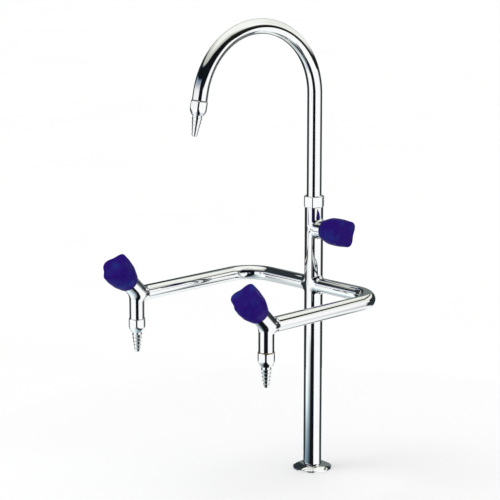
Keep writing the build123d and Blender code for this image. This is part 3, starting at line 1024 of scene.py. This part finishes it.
def mirrored(name, points, tones):
    """A grid of the studio that only mirrors show, with a colour and a cover at each point."""
    m, n, _ = points.shape
    index = np.arange(m * n).reshape(m, n)
    corners = (index[:-1, :-1], index[:-1, 1:], index[1:, 1:], index[1:, :-1])
    faces = np.stack(corners, axis=-1).reshape(-1, 4).tolist()
    piece = stage_mesh(name, points.reshape(-1, 3).tolist(), faces, mirror_light(name))
    layer = piece.data.color_attributes.new("tone", "FLOAT_COLOR", "POINT")
    layer.data.foreach_set("color", np.broadcast_to(tones, (m, n, 4)).reshape(-1))
    piece.visible_camera = False
    piece.visible_diffuse = False
    piece.visible_shadow = False


def standing(level, height):
    """Points at a height above level ones."""
    return level + height[..., None] * UP


def raise_surround():
    """What the chrome sees: a wide ball, point = 9 m * direction(turn, rise), the table near the tap, a dark
    screen in front, a dark flag high on the right that climbs towards the front, and a round wall
    behind in three pieces, dark on the right, grey in the middle, and dark and higher on the left."""
    turns, rises = np.linspace(-180.0, 180.0, 241), np.linspace(-90.0, 90.0, 181)
    turn, rise = np.meshgrid(np.radians(turns), np.radians(rises))
    ball = 9.0 * standing(np.cos(rise)[..., None] * heading(turn), np.sin(rise))
    tones = studio_tones(np.degrees(turn), np.degrees(rise))
    mirrored("studio_surround", ball, np.concatenate([tones, np.ones(turn.shape + (1,))], axis=-1))

    turn, reach = np.meshgrid(np.radians(np.linspace(-180.0, 180.0, 121)), np.geomspace(0.028, 1.0, 60))
    table = reach[..., None] * heading(turn) + 0.001 * UP
    mirrored("studio_table", table, ground_tones(np.degrees(turn), reach))

    across, height = np.meshgrid((-0.40, 0.13), (-0.6, 1.0))
    mirrored("front_screen", standing(0.70 * AHEAD + across[..., None] * SIDE, height), (*NEAR_BLACK, 1.0))

    along, row = np.meshgrid(np.linspace(-1.0, 0.56, 79), (0, 1, 2))
    at = (-1.0, -0.24, -0.06, 0.05, 0.11, 0.17, 0.22, 0.29, 0.41, 0.56)
    bottom = np.interp(along, at, (0.56, 0.55, 0.54, 0.52, 0.51, 0.50, 0.55, 0.61, 0.69, 0.84))
    top = np.interp(along, at, (0.62, 0.62, 0.60, 0.62, 0.68, 0.76, 0.80, 0.88, 1.05, 1.30))
    height = np.choose(row, (bottom, top, top + 0.10))
    tones = np.array([(0.006, 0.006, 0.007, 1.0), (0.02, 0.02, 0.015, 1.0), (0.60, 0.60, 0.48, 0.0)])[row]
    mirrored("side_flag", standing(0.40 * SIDE + along[..., None] * AHEAD, height), tones)

    dark, grey = (0.026, 0.034, 0.038, 1.0), (0.17, 0.20, 0.19, 1.0)
    walls = (
        ("right", 98.0, 150.0, 0.42, 0.42, dark),
        ("middle", 150.0, 190.0, 0.46, 0.80, grey),
        ("left", 190.0, 262.0, 0.80, 0.80, dark),
    )
    for name, first, last, low, high, tone in walls:
        turn, share = np.meshgrid(np.linspace(first, last, 49), (0.0, 1.0))
        height = share * np.interp(turn, (first, min(last, first + 16.0)), (low, high))
        mirrored(f"back_wall_{name}", standing(0.52 * heading(np.radians(turn)), height), tone)


def mirror_light(name):
    """A plain emission in the colour of the points, clear where their cover is 0, that isn't sampled as a
    lamp."""
    material = bpy.data.materials.new(name)
    tree = cleared(material)
    tone = add_node(tree, "Attribute", attribute_name="tone").outputs
    emission = add_node(tree, "Emission", {"Color": tone["Color"]}).outputs["Emission"]
    clear = add_node(tree, "BsdfTransparent").outputs["BSDF"]
    mix = add_node(tree, "MixShader", {"Fac": tone["Alpha"], 1: clear, 2: emission})
    add_node(tree, "OutputMaterial", {"Surface": mix.outputs["Shader"]})
    material.cycles.emission_sampling = "NONE"
    return material


def hang_lamp():
    """A soft sun from the front left, which the chrome doesn't mirror as a shape."""
    lamp = bpy.data.lights.new("key_sun", "SUN")
    lamp.energy = 0.55
    lamp.angle = radians(30.0)
    holder = bpy.data.objects.new("key_sun", lamp)
    holder.rotation_euler = Vector((0.35, 0.45, -1.0)).to_track_quat("-Z", "Y").to_euler()
    holder.visible_glossy = False
    bpy.context.scene.collection.objects.link(holder)


def light_world():
    """White behind everything, and a plain even light on whatever isn't a mirror."""
    world = bpy.data.worlds.new("Studio world")
    bpy.context.scene.world = world
    tree = cleared(world)
    plain, white = (
        add_node(tree, "Background", {"Color": (1.0,) * 4, "Strength": level}).outputs["Background"]
        for level in (0.90, 1.0)
    )
    path = add_node(tree, "LightPath").outputs
    seen = path["Is Camera Ray"]
    for kind in ("Is Glossy Ray", "Is Transmission Ray"):
        seen = add_node(tree, "Math", {0: seen, 1: path[kind]}, operation="MAXIMUM").outputs[0]
    mix = add_node(tree, "MixShader", {"Fac": seen, 1: plain, 2: white})
    add_node(tree, "OutputWorld", {"Surface": mix.outputs["Shader"]})


def place_camera(scene):
    """A long lens at the photograph's angle."""
    camera = bpy.data.cameras.new("camera")
    camera.sensor_width = 36.0
    camera.lens = 144.0
    camera.clip_start, camera.clip_end = 0.1, 60.0
    holder = bpy.data.objects.new("camera", camera)
    right = Vector((0.70029, 0.71386, 0.0))
    back = Vector((0.69792, -0.68466, 0.21013)).normalized()
    right = (right - back * right.dot(back)).normalized()
    up = back.cross(right)
    place = Matrix((right, up, back)).transposed().to_4x4()
    place.translation = Vector((1.82896, -1.91505, 0.87650))
    holder.matrix_world = place
    scene.collection.objects.link(holder)
    scene.camera = holder


class TAP_PT_panel(bpy.types.Panel):
    """Buttons for each group of pieces"""

    bl_idname = "TAP_PT_panel"
    bl_label = "Bench tap"
    bl_space_type = "VIEW_3D"
    bl_region_type = "UI"
    bl_category = "Bench tap"

    def draw(self, context):
        for operator in OPERATORS:
            self.layout.operator(operator.bl_idname)
        for name in PROPERTY_GROUPS:
            box = self.layout.box()
            for key in PROPERTY_GROUPS[name].__annotations__:
                box.prop(getattr(context.scene, name), key)


PROPERTY_GROUPS = {
    "tap_pipework": TapPipework,
    "tap_valves": TapValves,
    "tap_nozzles": TapNozzles,
    "tap_colours": TapColours,
}
OPERATORS = (
    TAP_OT_inner_pieces,
    TAP_OT_flange,
    TAP_OT_column_and_arms,
    TAP_OT_cross,
    TAP_OT_side_valves,
    TAP_OT_middle_valve,
    TAP_OT_union_nut,
    TAP_OT_spout,
    TAP_OT_nozzles,
    TAP_OT_knobs,
    TAP_OT_studio,
)


def register():
    for group in PROPERTY_GROUPS.values():
        bpy.utils.register_class(group)
    for name, group in PROPERTY_GROUPS.items():
        setattr(bpy.types.Scene, name, PointerProperty(type=group))
    for operator in OPERATORS:
        bpy.utils.register_class(operator)
    bpy.utils.register_class(TAP_PT_panel)


def unregister():
    bpy.utils.unregister_class(TAP_PT_panel)
    for operator in reversed(OPERATORS):
        bpy.utils.unregister_class(operator)
    for name in PROPERTY_GROUPS:
        delattr(bpy.types.Scene, name)
    for group in PROPERTY_GROUPS.values():
        bpy.utils.unregister_class(group)


def main():
    register()
    for operator in OPERATORS:
        group, name = operator.bl_idname.split(".")
        getattr(getattr(bpy.ops, group), name)()


if __name__ == "__main__":
    main()
